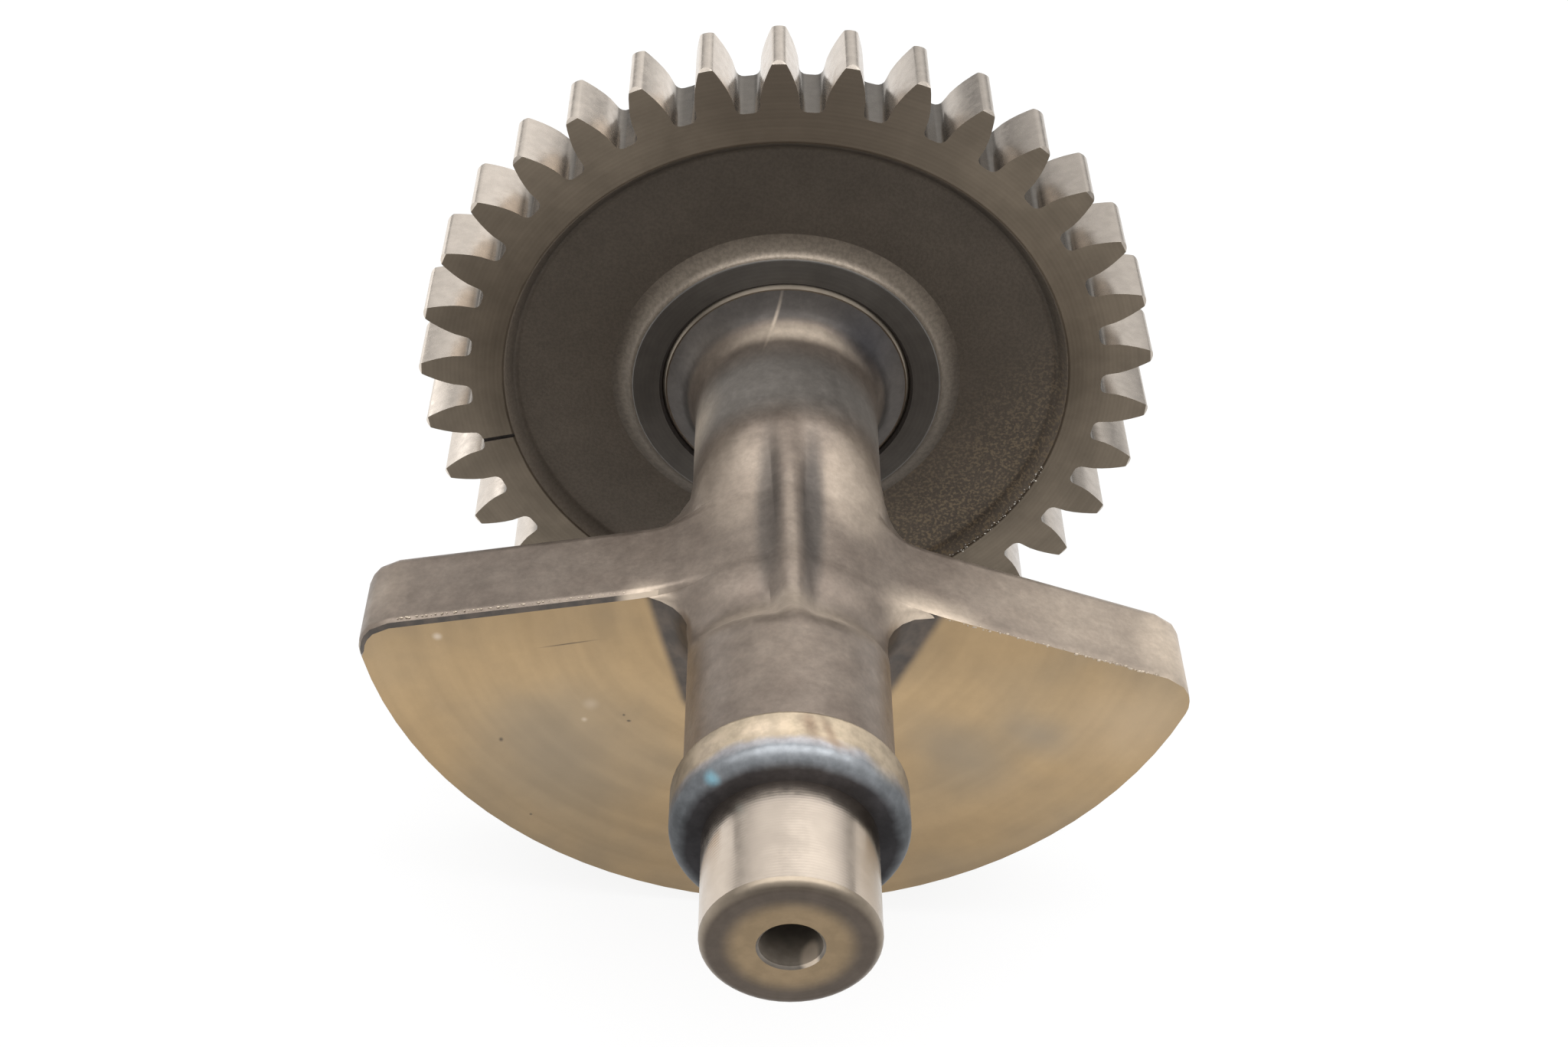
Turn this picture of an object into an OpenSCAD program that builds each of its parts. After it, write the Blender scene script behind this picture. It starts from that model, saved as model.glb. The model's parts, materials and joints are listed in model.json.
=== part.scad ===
// Engine balance shaft: a forged and turned shaft with a half-round counterweight,
// and a spur gear pressed on its seat.
// The shaft lies along Y with its front journal towards -Y, and the weight hangs towards -Z.
// The origin is on the shaft's axis, at the shoulder that the front bearing seats against.

/* [Bearing journals] */
// Diameter of both bearing journals
journal_d = 20; // [16:0.5:23]
// Length of both bearing journals
journal_l = 15; // [10:0.5:25]
// Rounding of the journals' ends
journal_round = 1.2; // [0.3:0.1:2]
// Diameter of the shoulders that the bearings seat against
shoulder_d = 27.4; // [26:0.2:31]
// Length of the front shoulder
shoulder_l = 7.3; // [4:0.1:12]
// Length of the rear shoulder, behind the gear
rear_shoulder_l = 4; // [3:0.5:10]
// Rounding of the shoulders' edges beside the bearings
shoulder_round = 1.9; // [0.4:0.1:2.2]
// Rounding of the front shoulder's edge beside the boss
shoulder_edge = 0.6; // [0.2:0.1:0.7]
// Diameter of the centre holes in both ends
centre_hole_d = 7; // [4:0.1:10]
// Depth of the centre holes
centre_hole_l = 14; // [6:1:24]
// Chamfer at the mouth of the centre holes
centre_hole_chamfer = 0.3; // [0.2:0.1:1]

/* [Forged shaft] */
// Diameter of the neck between the weight and the gear
neck_d = 25; // [22:0.5:26]
// Length of the neck, from the weight's back to the gear's front face
neck_l = 32; // [28:0.5:60]
// Diameter of the boss in front of the weight
boss_d = 24.6; // [22:0.2:25.4]
// Length of the boss, from the bearing shoulder to the weight's front face
boss_l = 32.1; // [26:0.1:50]
// Depth by which the top of the shaft dips where it crosses the weight
saddle_depth = 5.2; // [0:0.2:6]
// Radius across the two lobes of the dip, flatter than the neck
lobe_radius = 15; // [13.5:0.5:20]
// Height of the flash ridge above the boss and the neck
ridge_h = 0.35; // [0:0.05:1]
// Share of the dip that the flash ridge fills
ridge_fill = 0.33; // [0:0.01:0.8]
// Half width of the flash ridge's foot
ridge_w = 2.8; // [2:0.2:4.4]
// Lean of the flash ridge against the shaft's axis, in degrees
ridge_lean = 1.8; // [-3:0.1:3]

/* [Counterweight] */
// Outer radius of the counterweight
weight_r = 55.2; // [46:0.2:64]
// Thickness of the counterweight
weight_t = 13.9; // [9:0.1:20]
// Slope of the arms' top faces, falling outwards
arm_slope = 14.4; // [5:0.2:20]
// Distance from the shaft's axis to the plane of an arm's top face
arm_rise = 5.2; // [3:0.1:7]
// Rounding of the arms' outer corners
arm_corner_r = 5; // [3:0.5:9]
// Rounding of the arms' back edges
arm_edge_r = 1.9; // [1:0.1:2.5]
// Rounding of the arms' front edges, before the weight's front is faced
face_edge_r = 1.2; // [0.6:0.1:2.5]
// Share of that rounding that facing takes off the arm on the -X side
left_face_cut = 0.05; // [0:0.05:0.9]
// Share of that rounding that facing takes off the arm on the +X side
right_face_cut = 0.6; // [0:0.05:0.9]
// Bevel of the turned rim's edges
rim_bevel = 0.4; // [0.2:0.1:0.8]
// Fillet between the neck and the weight's back face
back_fillet = 8; // [4:0.5:10]
// Fillet between the boss and the weight's front face
front_fillet = 6.2; // [3:0.1:9]
// Blend between the shaft's sides and the arms' top faces
arm_blend = 8; // [4:0.5:9]

/* [Gear] */
// Number of teeth
teeth = 34; // [28:1:40]
// Module of the teeth
gear_module = 2.8; // [2.4:0.05:3.2]
// Pressure angle of the teeth
pressure_angle = 17.5; // [16:0.5:20]
// Addendum, in modules
addendum = 1.32; // [1:0.02:1.35]
// Dedendum, in modules
dedendum = 1.25; // [1.1:0.05:1.4]
// Root fillet radius, in modules
root_fillet = 0.38; // [0.2:0.02:0.4]
// Share of the tooth tips' width that their rounding takes
tip_round = 0.85; // [0.2:0.05:0.95]
// Width of the gear's rim and hub along the shaft
gear_w = 10; // [7:0.5:16]
// Height of the rim between the tooth roots and the recess
rim_h = 4.6; // [3:0.2:8]
// Depth of the web's recess on each face
recess_depth = 1.9; // [1:0.1:3]
// Diameter of the hub's flat face
hub_d = 43.2; // [40:0.2:50]
// Width of the hollow wall between the hub's face and the web
hub_slope = 2.9; // [1.5:0.1:4]
// Width of the sloped wall between the rim's face and the web
rim_slope = 1.5; // [1:0.1:3]
// Bevel at the ends of the teeth and the edges of the bore
gear_bevel = 0.4; // [0.2:0.1:0.8]
// Turn of the gear's top tooth gap from straight up, in degrees
gear_clock = -1.4; // [-5:0.1:5]
// Width of the scribed timing mark on the rim's face
mark_w = 0.6; // [0.3:0.1:1.2]
// Depth of the timing mark
mark_depth = 0.35; // [0.2:0.05:0.6]
// Tooth gap that carries the timing mark, counted from the top one
mark_gap = 10; // [0:1:27]

/* [Gear seat] */
// Diameter of the seat that the gear is pressed on
seat_d = 34.8; // [33:0.2:38]
// Length of the seat behind the gear's back face
seat_tail = 0.6; // [0.2:0.1:4]
// Chamfer at the seat's ends
seat_chamfer = 0.5; // [0.2:0.1:0.8]
// Radial height of the fillet between the neck and the collar
collar_fillet_h = 4.2; // [2:0.1:4.6]
// Length of the fillet between the neck and the collar
collar_fillet_l = 8; // [4:0.5:10]
// Radial gap that stands for the press fit, so that the solids stay apart
press_gap = 0.01; // [0.005:0.005:0.03]

/* [Hidden] */

$fn = 96;

journal_r = journal_d / 2;
shoulder_r = shoulder_d / 2;
neck_r = neck_d / 2;
boss_r = boss_d / 2;
seat_r = seat_d / 2;

// Places along the shaft
weight_front = shoulder_l + boss_l;
weight_back = weight_front + weight_t;
gear_front = weight_back + neck_l;
gear_back = gear_front + gear_w;
seat_end = gear_back + seat_tail;
rear_shoulder = seat_end + rear_shoulder_l;
rear_end = rear_shoulder + journal_l;

// Radii of the gear
pitch_r = gear_module * teeth / 2;
tip_r = pitch_r + addendum * gear_module;
root_r = pitch_r - dedendum * gear_module;
base_r = pitch_r * cos(pressure_angle);
hub_r = hub_d / 2;
rim_in_r = root_r - rim_h;
tooth_pitch = 360 / teeth;

// Points used for a rounded corner, a fillet and a tooth flank
corner_steps = 5;
fillet_steps = 5;
flank_steps = 5;

// Smooth step from 0 at a to 1 at b
function ease(a, b, v) = let (t = min(1, max(0, (v - a) / (b - a)))) t * t * (3 - 2 * t);

// Larger and smaller of two lengths, blended over a length k where they come close
function blend_bump(a, b, k) = k <= 0 ? 0 : pow(max(0, k - abs(a - b)), 2) / (4 * k);
function blend_max(a, b, k) = max(a, b) + blend_bump(a, b, k);
function blend_min(a, b, k) = min(a, b) - blend_bump(a, b, k);

// Sag of a fillet of height h and length l at a distance s from the face that it springs from
function fillet_height(h, l, s) = s >= l ? 0 : h * (1 - sqrt(1 - pow(1 - s / l, 2)));

// Outline whose corners [x, y, radius] are rounded with arcs
function unit(v) = v / norm(v);
function corner_arc(before, at, after, r) =
    let (
        u = unit(before - at),
        v = unit(after - at),
        half = acos(max(-1, min(1, u * v))) / 2,
        centre = at + unit(u + v) * r / sin(half),
        from = at + u * r / tan(half) - centre,
        sweep = 180 - 2 * half,
        turn = u[0] * v[1] - u[1] * v[0] > 0 ? -1 : 1
    )
    [for (i = [0:corner_steps])
        let (a = turn * sweep * i / corner_steps)
            centre + [from[0] * cos(a) - from[1] * sin(a), from[0] * sin(a) + from[1] * cos(a)]];
function rounded(path) =
    let (n = len(path), at = [for (p = path) [p[0], p[1]]])
    [for (i = [0:n - 1]) each
        path[i][2] > 0
            ? corner_arc(at[(i + n - 1) % n], at[i], at[(i + 1) % n], path[i][2])
            : [at[i]]];

// Turns a profile of [radius, place along the shaft] round the shaft's axis
module turned(profile) {
    rotate([-90, 0, 0]) rotate_extrude() polygon(rounded(profile));
}

// Length by which a cut starts outside the solid, and half of the drill's point angle
cut_over = 1;
drill_angle = 59;

// Centre hole drilled from the end at y, towards +Y for way 1 and towards -Y for way -1
module centre_hole(y, way) {
    hole_r = centre_hole_d / 2;
    translate([0, y, 0]) rotate([-90 * way, 0, 0]) {
        translate([0, 0, -cut_over]) cylinder(h = centre_hole_l + cut_over, r = hole_r);
        translate([0, 0, centre_hole_l]) cylinder(h = hole_r / tan(drill_angle), r1 = hole_r, r2 = 0);
        cylinder(h = centre_hole_chamfer, r1 = hole_r + centre_hole_chamfer, r2 = hole_r);
    }
}

// Forged skin: its radius about the axis at an angle from straight up, for each place along the shaft

// Shaft alone: its top falls in two lobes towards the weight, and a flash ridge leans across them
dip_from = weight_back + 11;
dip_to = (weight_front + weight_back) / 2;
rise_from = weight_front - 7.5;
rise_to = weight_front - 16.5;
fall_blend = 0.4;
lobe_blend = 0.5;
ridge_from = weight_back + 13;
ridge_end = weight_front - 22;
crest_w = 0.2;
lean_end = 70;
function fall(y) = max(0, blend_min(1, (dip_from - y) / (dip_from - dip_to), fall_blend));
function dip(y) = fall(y) * ease(rise_to, rise_from, y);
function ridge(y) = ease(ridge_from, weight_back, y) * ease(ridge_end, rise_from, y);
function collar_r(y) = fillet_height(collar_fillet_h, collar_fillet_l, max(0, gear_front - y));
function plain_r(y) = boss_r + (neck_r - boss_r) * ease(weight_front, weight_back, y) + collar_r(y);
function ridge_angle(y) = asin((ridge_end - y) * tan(ridge_lean) / plain_r(y));
function top_r(y) = plain_r(y) + lobe_blend - (saddle_depth + lobe_blend) * dip(y);
function lobe_r(t, low) = sqrt(pow(lobe_radius, 2) - pow(low * sin(t), 2)) - low * cos(t);
function smooth_r(t, y) =
    dip(y) > 0 ? blend_min(plain_r(y), lobe_r(t, lobe_radius - top_r(y)), lobe_blend) : plain_r(y);

// a is the angle from the ridge, t the angle from straight up
function core_r(a, t, y) =
    let (
        aside = min(plain_r(y), top_r(y)) * sin(min(a, 90)),
        height = ridge_h * ridge(y) + ridge_fill * saddle_depth * dip(y)
    )
    smooth_r(t, y) + height * ease(ridge_w, crest_w, aside);

// Angles between which the rounding of the arms' edges fades out towards the shaft
edge_from = 62;
edge_to = 84;

// Weight alone, inset by d: the arm's top face, its rounded corner and the turned rim
corner_way = sqrt(pow(weight_r - arm_corner_r, 2) - pow(arm_rise - arm_corner_r, 2));
corner_at = (arm_rise - arm_corner_r) * [sin(arm_slope), cos(arm_slope)]
    + corner_way * [cos(arm_slope), -sin(arm_slope)];
function arm_tip(d) = corner_at + (arm_corner_r - d) * [sin(arm_slope), cos(arm_slope)];
function corner_from(d) = atan2(arm_tip(d)[0], arm_tip(d)[1]);
corner_to = atan2(corner_at[0], corner_at[1]);
function arm_angle(r, d) = arm_slope + acos((arm_rise - d) / r);
function half_weight_r(a, d) =
    let (
        root_d = d * ease(edge_from, edge_to, a),
        along = corner_at * [sin(a), cos(a)],
        aside = pow(arm_corner_r - d, 2) - corner_at * corner_at + along * along
    )
    a <= corner_from(d) ? (arm_rise - root_d) / cos(a - arm_slope)
    : a < corner_to ? along + sqrt(max(0, aside))
    : weight_r - min(d, rim_bevel);

// Section of the forging: the weight's outline inset by d, or outside the weight the shaft flared by a fillet
function outline_r(a, t, y, d) = blend_max(core_r(a, t, y), half_weight_r(t, d), arm_blend);
function section_r(a, t, y, flare, d) =
    flare < 0
        ? outline_r(a, t, y, d)
        : blend_min(core_r(a, t, y) + flare, outline_r(a, t, y, d), min(flare, arm_edge_r));

// Angles of one section whose arms are inset by d: ridge, flank, arm's root, arm's top, corner and rim
crest_steps = 7;
shaft_steps = 9;
root_steps = 5;
arm_steps = 5;
rim_steps = 18;
crest_end = asin(ridge_w / neck_r);
root_r_end = neck_r + max(back_fillet, front_fillet);
function half_angles(d) =
    let (arm_root = arm_angle(neck_r, d), from = corner_from(d), tip = norm(arm_tip(d)))
    concat(
        [for (i = [0:crest_steps - 1]) crest_end * i / crest_steps],
        [for (i = [0:shaft_steps - 1]) crest_end + (arm_root - crest_end) * i / shaft_steps],
        [for (i = [0:root_steps - 1]) arm_angle(neck_r + (root_r_end - neck_r) * i / root_steps, d)],
        [for (i = [0:arm_steps - 1]) arm_angle(root_r_end + (tip - root_r_end) * i / arm_steps, d)],
        [for (i = [0:corner_steps - 1]) from + (corner_to - from) * i / corner_steps],
        [for (i = [0:rim_steps]) corner_to + (180 - corner_to) * i / rim_steps]
    );
function ring_angles(right, left) =
    let (r = half_angles(right), l = half_angles(left))
    concat(r, [for (i = [len(l) - 2:-1:1]) -l[i]]);

// Stations along the forging, rear to front: place, flare or -1 inside the weight, insets right and left
seat_overlap = 3;
fillet_crowd = 1.5;
back_draft = 0.4;
face_step = 0.02;
neck_steps = 2;
lobe_steps = 3;
edge_steps = 3;
rise_steps = 6;
boss_steps = 3;
function edge_inset(s, r) = r - sqrt(pow(r, 2) - pow(max(0, r - s), 2));
function face_inset(s, cut) = edge_inset(s * (1 - cut) + cut * face_edge_r, face_edge_r);
function face_insets(s) = [face_inset(s, right_face_cut), face_inset(s, left_face_cut)];
function station(y, flare, insets) = [y, flare, insets[0], insets[1]];
back_insets = [arm_edge_r, arm_edge_r];
stations = concat(
    [station(gear_front + seat_overlap, 0, back_insets)],
    [for (i = [0:fillet_steps])
        station(gear_front - collar_fillet_l * pow(i / fillet_steps, fillet_crowd), 0, back_insets)],
    [for (i = [1:neck_steps])
        let (y0 = gear_front - collar_fillet_l)
            station(y0 + (ridge_from - y0) * i / neck_steps, 0, back_insets)],
    [for (i = [0:lobe_steps - 1])
        let (y0 = dip_from + face_step, y1 = weight_back + back_fillet)
            station(y0 + (y1 - y0) * i / lobe_steps, 0, back_insets)],
    [for (i = [fillet_steps:-1:0])
        let (s = back_fillet * pow(i / fillet_steps, fillet_crowd))
            station(weight_back + s, fillet_height(back_fillet, back_fillet, s), back_insets)],
    [for (i = [0:edge_steps])
        let (s = arm_edge_r * i / edge_steps)
            station(weight_back - back_draft - s, -1, [1, 1] * edge_inset(s, arm_edge_r))],
    [station(dip_to, -1, [0, 0])],
    [for (i = [edge_steps:-1:0])
        let (s = face_edge_r * i / edge_steps)
            station(weight_front + s, -1, face_insets(s))],
    [for (i = [0:fillet_steps])
        let (s = front_fillet * pow(i / fillet_steps, fillet_crowd))
            station(weight_front - face_step - s, fillet_height(front_fillet, front_fillet, s),
                face_insets(0))],
    [for (i = [1:rise_steps])
        let (y0 = weight_front - face_step - front_fillet)
            station(y0 + (rise_to - y0) * i / rise_steps, 0, face_insets(0))],
    [for (i = [1:boss_steps])
        station(rise_to + (shoulder_l + 1 - rise_to) * i / boss_steps, 0, face_insets(0))],
    [station(shoulder_l / 2, 0, face_insets(0))]
);

module forging() {
    n = len(ring_angles(0, 0));
    m = len(stations);
    points = [for (st = stations) for (a = ring_angles(st[2], st[3]))
        let (
            t = a + ridge_angle(st[0]) * ease(lean_end, 0, abs(a)),
            r = section_r(abs(a), abs(t), st[0], st[1], a < 0 ? st[3] : st[2])
        )
        [r * sin(t), st[0], r * cos(t)]];
    skin = [for (j = [0:m - 2]) for (i = [0:n - 1])
        let (k = (i + 1) % n) [j * n + i, j * n + k, (j + 1) * n + k, (j + 1) * n + i]];
    rear_cap = [for (i = [n - 1:-1:0]) i];
    front_cap = [for (i = [0:n - 1]) (m - 1) * n + i];
    polyhedron(points, concat(skin, [rear_cap, front_cap]), convexity = 10);
}

// Forged and turned shaft in one piece
module balance_shaft() {
    color([0.46, 0.42, 0.38]) difference() {
        union() {
            forging();
            turned([
                [0, shoulder_l, 0], [shoulder_r, shoulder_l, shoulder_edge],
                [shoulder_r, 0, shoulder_round], [journal_r, 0, 0],
                [journal_r, -journal_l, journal_round], [0, -journal_l, 0]]);
            turned([
                [0, gear_front, 0], [seat_r - seat_chamfer, gear_front, 0],
                [seat_r, gear_front + seat_chamfer, 0], [seat_r, seat_end - seat_chamfer, 0],
                [seat_r - seat_chamfer, seat_end, 0], [shoulder_r, seat_end, 0],
                [shoulder_r, rear_shoulder, shoulder_round], [journal_r, rear_shoulder, 0],
                [journal_r, rear_end, journal_round], [0, rear_end, 0]]);
        }
        centre_hole(-journal_l, 1);
        centre_hole(rear_end, -1);
    }
}

// Angle in degrees between a tooth's centre line and its flank at radius r
function involute_angle(r) = let (p = acos(min(1, base_r / r))) tan(p) * 180 / PI - p;
flank_base = tooth_pitch / 4 + involute_angle(pitch_r);
function flank_angle(r) = flank_base - involute_angle(r);

// Half of one tooth as [radius, angle from the tooth's centre, rounding], from the root to the tip
fillet_r = root_fillet * gear_module;
fillet_at = root_r + fillet_r;
fillet_turn = asin(fillet_r / fillet_at);
function root_point(t) =
    let (
        x = fillet_at * cos(fillet_turn) - fillet_r * sin(t),
        y = fillet_r - fillet_r * cos(t)
    )
    [norm([x, y]), flank_base + atan2(y, x), 0];
flank_from = max(base_r, fillet_at * cos(fillet_turn));
tip_half = tip_r * flank_angle(tip_r) * PI / 180;
tip_round_r = tip_round * tip_half * tan(45 + acos(base_r / tip_r) / 2);
half_tooth = concat(
    [for (i = [4:-1:0]) root_point((90 - fillet_turn) * i / 4)],
    [for (i = [0:flank_steps])
        let (r = flank_from + (tip_r - flank_from) * i / flank_steps, last = i == flank_steps)
            if (r > base_r || i > 0) [r, flank_angle(r), last ? tip_round_r : 0]]
);
function reversed(list) = [for (i = [len(list) - 1:-1:0]) list[i]];
tooth = concat(half_tooth, [for (p = reversed(half_tooth)) [p[0], -p[1], p[2]]]);

// Toothed outline with a tooth gap straight up
module gear_outline() {
    polygon(rounded([for (i = [0:teeth - 1]) for (p = tooth)
        let (a = (i + 0.5) * tooth_pitch - p[1]) [p[0] * sin(a), p[0] * cos(a), p[2]]]));
}

// Hollow wall of the hub as [distance from the hub's edge, depth below its face], steep at its edge
wall_steps = 6;
wall_turn = 75;
hub_edge = 0.12;
hub_wall = [for (i = [0:wall_steps])
    let (a = wall_turn * i / wall_steps)
        [hub_slope * (1 - cos(a)) / (1 - cos(wall_turn)), recess_depth * sin(a) / sin(wall_turn),
         i == 0 ? hub_edge * recess_depth : 0]];

// Half of the gear blank's section beyond its middle plane: bore, hub, recessed web and rim
web_corner = 0.6;
rim_edge = 0.35;
function blank_side(face, way) = concat(
    [[seat_r + press_gap, face - way * gear_bevel, 0], [seat_r + press_gap + gear_bevel, face, 0]],
    [for (p = hub_wall) [hub_r + p[0], face - way * p[1], p[2]]],
    [[rim_in_r - rim_slope, face - way * recess_depth, web_corner * recess_depth],
     [rim_in_r, face, rim_edge * recess_depth],
     [tip_r - gear_bevel, face, 0],
     [tip_r, face - way * gear_bevel, 0]]);

// Spur gear pressed on the shaft's seat
module balancer_gear() {
    color([0.36, 0.32, 0.28]) difference() {
        intersection() {
            turned(concat(blank_side(gear_front, -1), reversed(blank_side(gear_back, 1))));
            translate([0, gear_front, 0]) rotate([-90, gear_clock, 0])
                linear_extrude(gear_w) gear_outline();
        }
        rotate([0, gear_clock - mark_gap * tooth_pitch, 0])
            translate([-mark_w / 2, gear_front - cut_over, rim_in_r])
                cube([mark_w, mark_depth + cut_over, rim_h + cut_over]);
    }
}

balance_shaft();
balancer_gear();
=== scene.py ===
"""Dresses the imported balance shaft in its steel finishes, on a pale studio stage, seen by one camera."""

import json
import math
import random

import bmesh
import bpy
from bpy.props import FloatProperty, FloatVectorProperty, PointerProperty
from bpy.types import NodeSocket, Operator, Panel, PropertyGroup
from mathutils import Matrix, Vector


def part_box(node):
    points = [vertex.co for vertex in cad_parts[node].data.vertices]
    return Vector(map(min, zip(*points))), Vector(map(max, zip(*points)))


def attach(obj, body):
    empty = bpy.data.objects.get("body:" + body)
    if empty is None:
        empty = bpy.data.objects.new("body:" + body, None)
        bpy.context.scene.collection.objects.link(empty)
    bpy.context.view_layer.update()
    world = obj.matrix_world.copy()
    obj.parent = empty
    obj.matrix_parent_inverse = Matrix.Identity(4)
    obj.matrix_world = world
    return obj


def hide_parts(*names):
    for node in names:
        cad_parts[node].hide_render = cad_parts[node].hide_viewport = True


bl_info = {
    "name": "Balance Shaft",
    "version": (1, 0, 0),
    "blender": (4, 5, 0),
    "location": "3D View > Sidebar > Balance Shaft",
    "description": "Finishes a forged balance shaft and its gear, and sets up a studio stage",
    "category": "Object",
}

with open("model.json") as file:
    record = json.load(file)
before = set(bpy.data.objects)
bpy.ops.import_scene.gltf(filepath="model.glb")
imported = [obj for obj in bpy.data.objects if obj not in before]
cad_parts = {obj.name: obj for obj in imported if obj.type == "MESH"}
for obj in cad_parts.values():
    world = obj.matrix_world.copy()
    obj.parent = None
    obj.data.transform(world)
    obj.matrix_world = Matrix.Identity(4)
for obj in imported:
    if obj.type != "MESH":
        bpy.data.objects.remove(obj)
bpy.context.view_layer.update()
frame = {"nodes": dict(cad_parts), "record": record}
MM = 0.001
# Distance within which a point counts as lying on a plane
TOUCH = 0.01 * MM
# Share of a normal along the axis from which its face counts as square to the axis
SQUARE = 0.9

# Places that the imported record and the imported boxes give, in metres
MOUNTS = {mount["name"]: mount for mount in frame["record"]["mounts"]}
JOURNAL_R = MOUNTS["front_journal"]["dims"]["r_mm"] * MM
REAR_SHOULDER = MOUNTS["rear_journal"]["pos_m"][1]
FRONT_END, REAR_END = (corner.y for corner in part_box("balance_shaft"))
GEAR_FRONT, GEAR_BACK = (corner.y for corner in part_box("balancer_gear"))
WEIGHT_R = -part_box("balance_shaft")[0].z
GEAR_TIP_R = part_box("balancer_gear")[1].x

# Share of bare metal in a blasted skin, whose thin scale scatters the rest of the light
SCALE_METALLIC = 0.7

# Half width of the floor in metres, its distance below the part, and the share of it that glows by itself,
# so that the shadow on it stays faint
FLOOR_REACH = 4.0
FLOOR_GAP = 0.3 * MM
FLOOR_GLOW = 0.86

# Length over which a wave texture of scale 1 repeats
WAVE_LENGTH = math.pi / 10

# Settings that many nodes share
COLOURS = {"data_type": "RGBA"}
MULTIPLY = {"data_type": "RGBA", "blend_type": "MULTIPLY"}
EASED = {"interpolation_type": "SMOOTHSTEP"}


def linear(hex_colour):
    """Linear red, green and blue of an sRGB hex colour."""
    parts = [int(hex_colour[i:i + 2], 16) / 255 for i in (1, 3, 5)]
    return tuple(c / 12.92 if c <= 0.04045 else ((c + 0.055) / 1.055) ** 2.4 for c in parts)


def colour(name, description, hex_colour):
    """A colour that the user can change."""
    return FloatVectorProperty(
        name=name, description=description, default=linear(hex_colour), subtype="COLOR", min=0, max=1)


def length(name, description, millimetres):
    """A length that the user can change."""
    return FloatProperty(name=name, description=description, default=millimetres * MM, min=0, unit="LENGTH")


class ShaftFinish(PropertyGroup):
    """Sizes that bound the shaft's finishes, and its colours."""

    shoulder_l: length("Shoulder length", "Length of the front bearing shoulder", 7.3)
    shoulder_r: length("Shoulder radius", "Radius of the bearing shoulders", 13.7)
    weight_front: length("Weight front", "Place of the counterweight's faced front along the shaft", 39.4)
    weight_back: length("Weight back", "Place of the counterweight's back along the shaft", 53.3)
    edge_round: length("Arm edge rounding", "Rounding of the arms' front edges", 1.2)
    fillet_r: length("Front fillet radius", "Reach of the fillet round the front boss from the axis", 18.6)
    hole_r: length("Centre hole radius", "Radius of the centre holes", 3.5)
    smooth_angle: FloatProperty(
        name="Smooth angle", description="Edges sharper than this stay hard",
        default=math.radians(35), subtype="ANGLE")
    skin: colour("Forged skin", "Blasted skin of the forging", "#867a6f")
    skin_stain: colour("Forged skin stain", "Browner clouds on the forging", "#766a60")
    # Painted highlights on the forging, the shoulder and the hole, and pale worn spots and specks
    highlight_and_wear: colour("Highlight and wear", "Painted highlights, and worn high spots, on the forging", "#d9c8b4")
    neck: colour("Neck skin", "Greyer skin of the neck", "#7d7974")
    # Dark scale, and painted shade in the hollows beside the flash line, on the left arm and its edge, and
    # beside the boss
    oxide_and_shade: colour("Oxide", "Dark scale, and painted shade, in the forging's hollows", "#544f4b")
    burr: colour("Burr", "Burr along the arms' front edges, and pale wear on the faced front", "#c9bba9")
    faced: colour("Faced steel", "Faced front of the counterweight", "#b69c78")
    faced_stain: colour("Faced steel stain", "Greyer clouds on the faced front", "#ab977b")
    grey_stain: colour("Grey stain", "Grey patches on the faced front", "#958b7d")
    # Also painted on the ends' rounded edges as light
    rim: colour("Turned rim", "Turned rim of the counterweight, and painted light on the rounded edge of the ends", "#a39685")
    ground: colour("Ground steel", "Ground bearing journals", "#d3c5b6")
    straw: colour("Straw tint", "Heat tint on the shoulder's outside", "#a89a86")
    violet: colour("Violet tint", "Heat tint between the straw and the blue", "#979495")
    blue: colour("Blue tint", "Heat tint on the shoulder's front edge", "#7d8083")
    # Dark heat tint that also stands for shade on the shoulder's front face, and darkening at the collar's
    # right
    dark_tint_and_shade: colour("Dark tint and shade", "Heat tint and painted shade on the shoulder's front face, and darkening at the collar", "#4b494b")
    burnt: colour("Burnt tint", "Brown breaks in the straw tint", "#7d6c5c")
    # A painted glint in the blue tint
    cyan: colour("Cyan tint", "Painted cyan glint in the blue tint", "#8fbccb")
    # Also painted as shade on the journal's right side
    end_ring_and_journal_shade: colour("End ring", "Tan ring round the centre hole, and painted shade on the journal's right", "#8f7c62")
    end_face: colour("End face", "Darker outside of the journal's end", "#5c534b")
    hole: colour("Centre hole", "Drilled wall of the centre hole", "#a89d90")
    collar: colour("Collar edge", "Bright chamfer of the gear seat", "#8f8578")


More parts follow.
